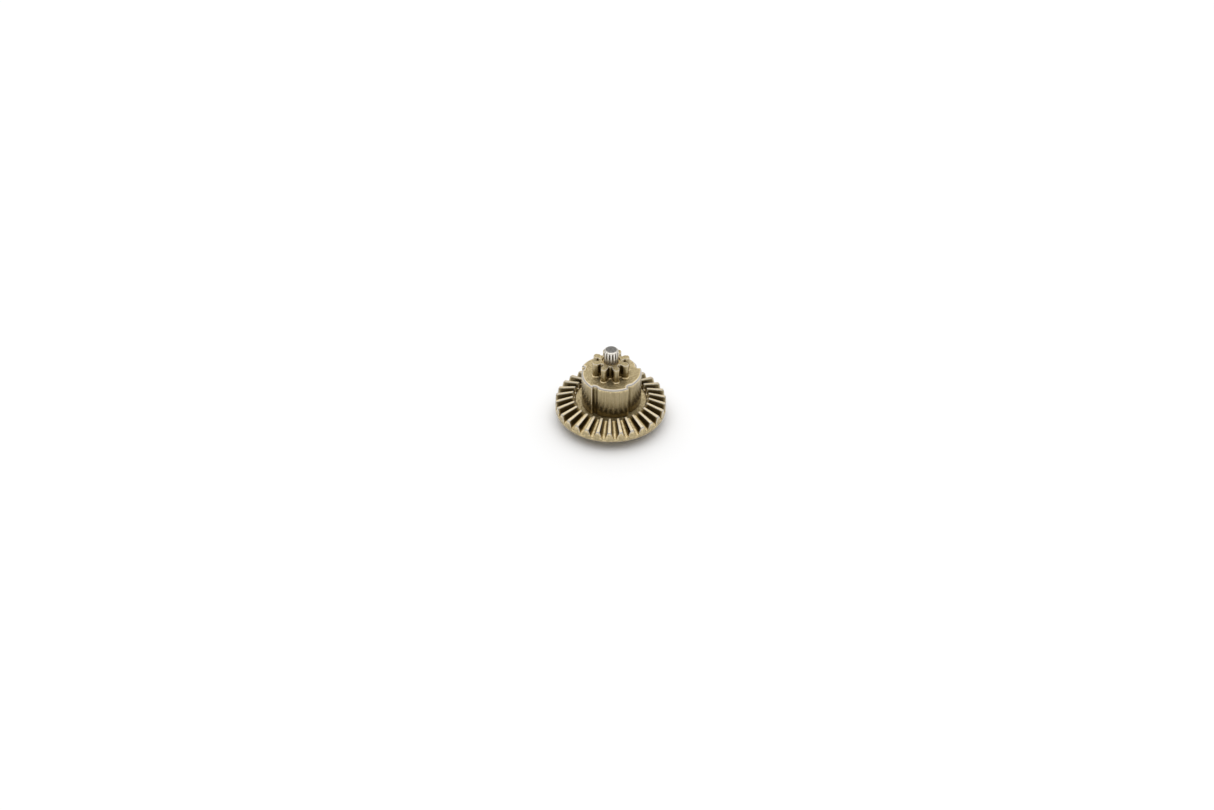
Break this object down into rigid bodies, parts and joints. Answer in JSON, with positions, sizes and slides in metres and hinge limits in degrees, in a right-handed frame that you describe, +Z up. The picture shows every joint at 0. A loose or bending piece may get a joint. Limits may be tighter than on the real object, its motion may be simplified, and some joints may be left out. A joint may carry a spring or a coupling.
{
  "type": "crown bevel gear with ratchet drum and spur pinion",
  "caption": "Compound gear on a fixed axle: a crown bevel gear with a ratchet drum and a small spur pinion on top, turning together on bronze bushes about a serrated steel pin.",
  "frame": {"origin": "centre of the axle's lower end face, where the part stands", "axes": "+Z up along the axle towards the spur pinion; -Y is the front that the ratchet step near -37 degrees is counted from"},
  "size_m": [0.023, 0.023, 0.0172],
  "materials": {
    "gear_steel": "bronze-toned plating over steel, worn silver on the edges, satin",
    "axle_steel": "ground hardened steel",
    "bush_bronze": "turned bearing bronze"
  },
  "bodies": {
    "axle": {"axle": "axle_steel"},
    "gear": {"bevel_crown": "gear_steel", "ratchet_drum": "gear_steel", "spur_pinion": "gear_steel", "upper_bush": "bush_bronze", "lower_bush": "bush_bronze"}
  },
  "joints": [
    {"name": "gear_spin", "type": "hinge", "parent": "axle", "child": "gear", "pos_m": [0, 0, 0], "axis": [0, 0, 1], "continuous": true}
  ]
}
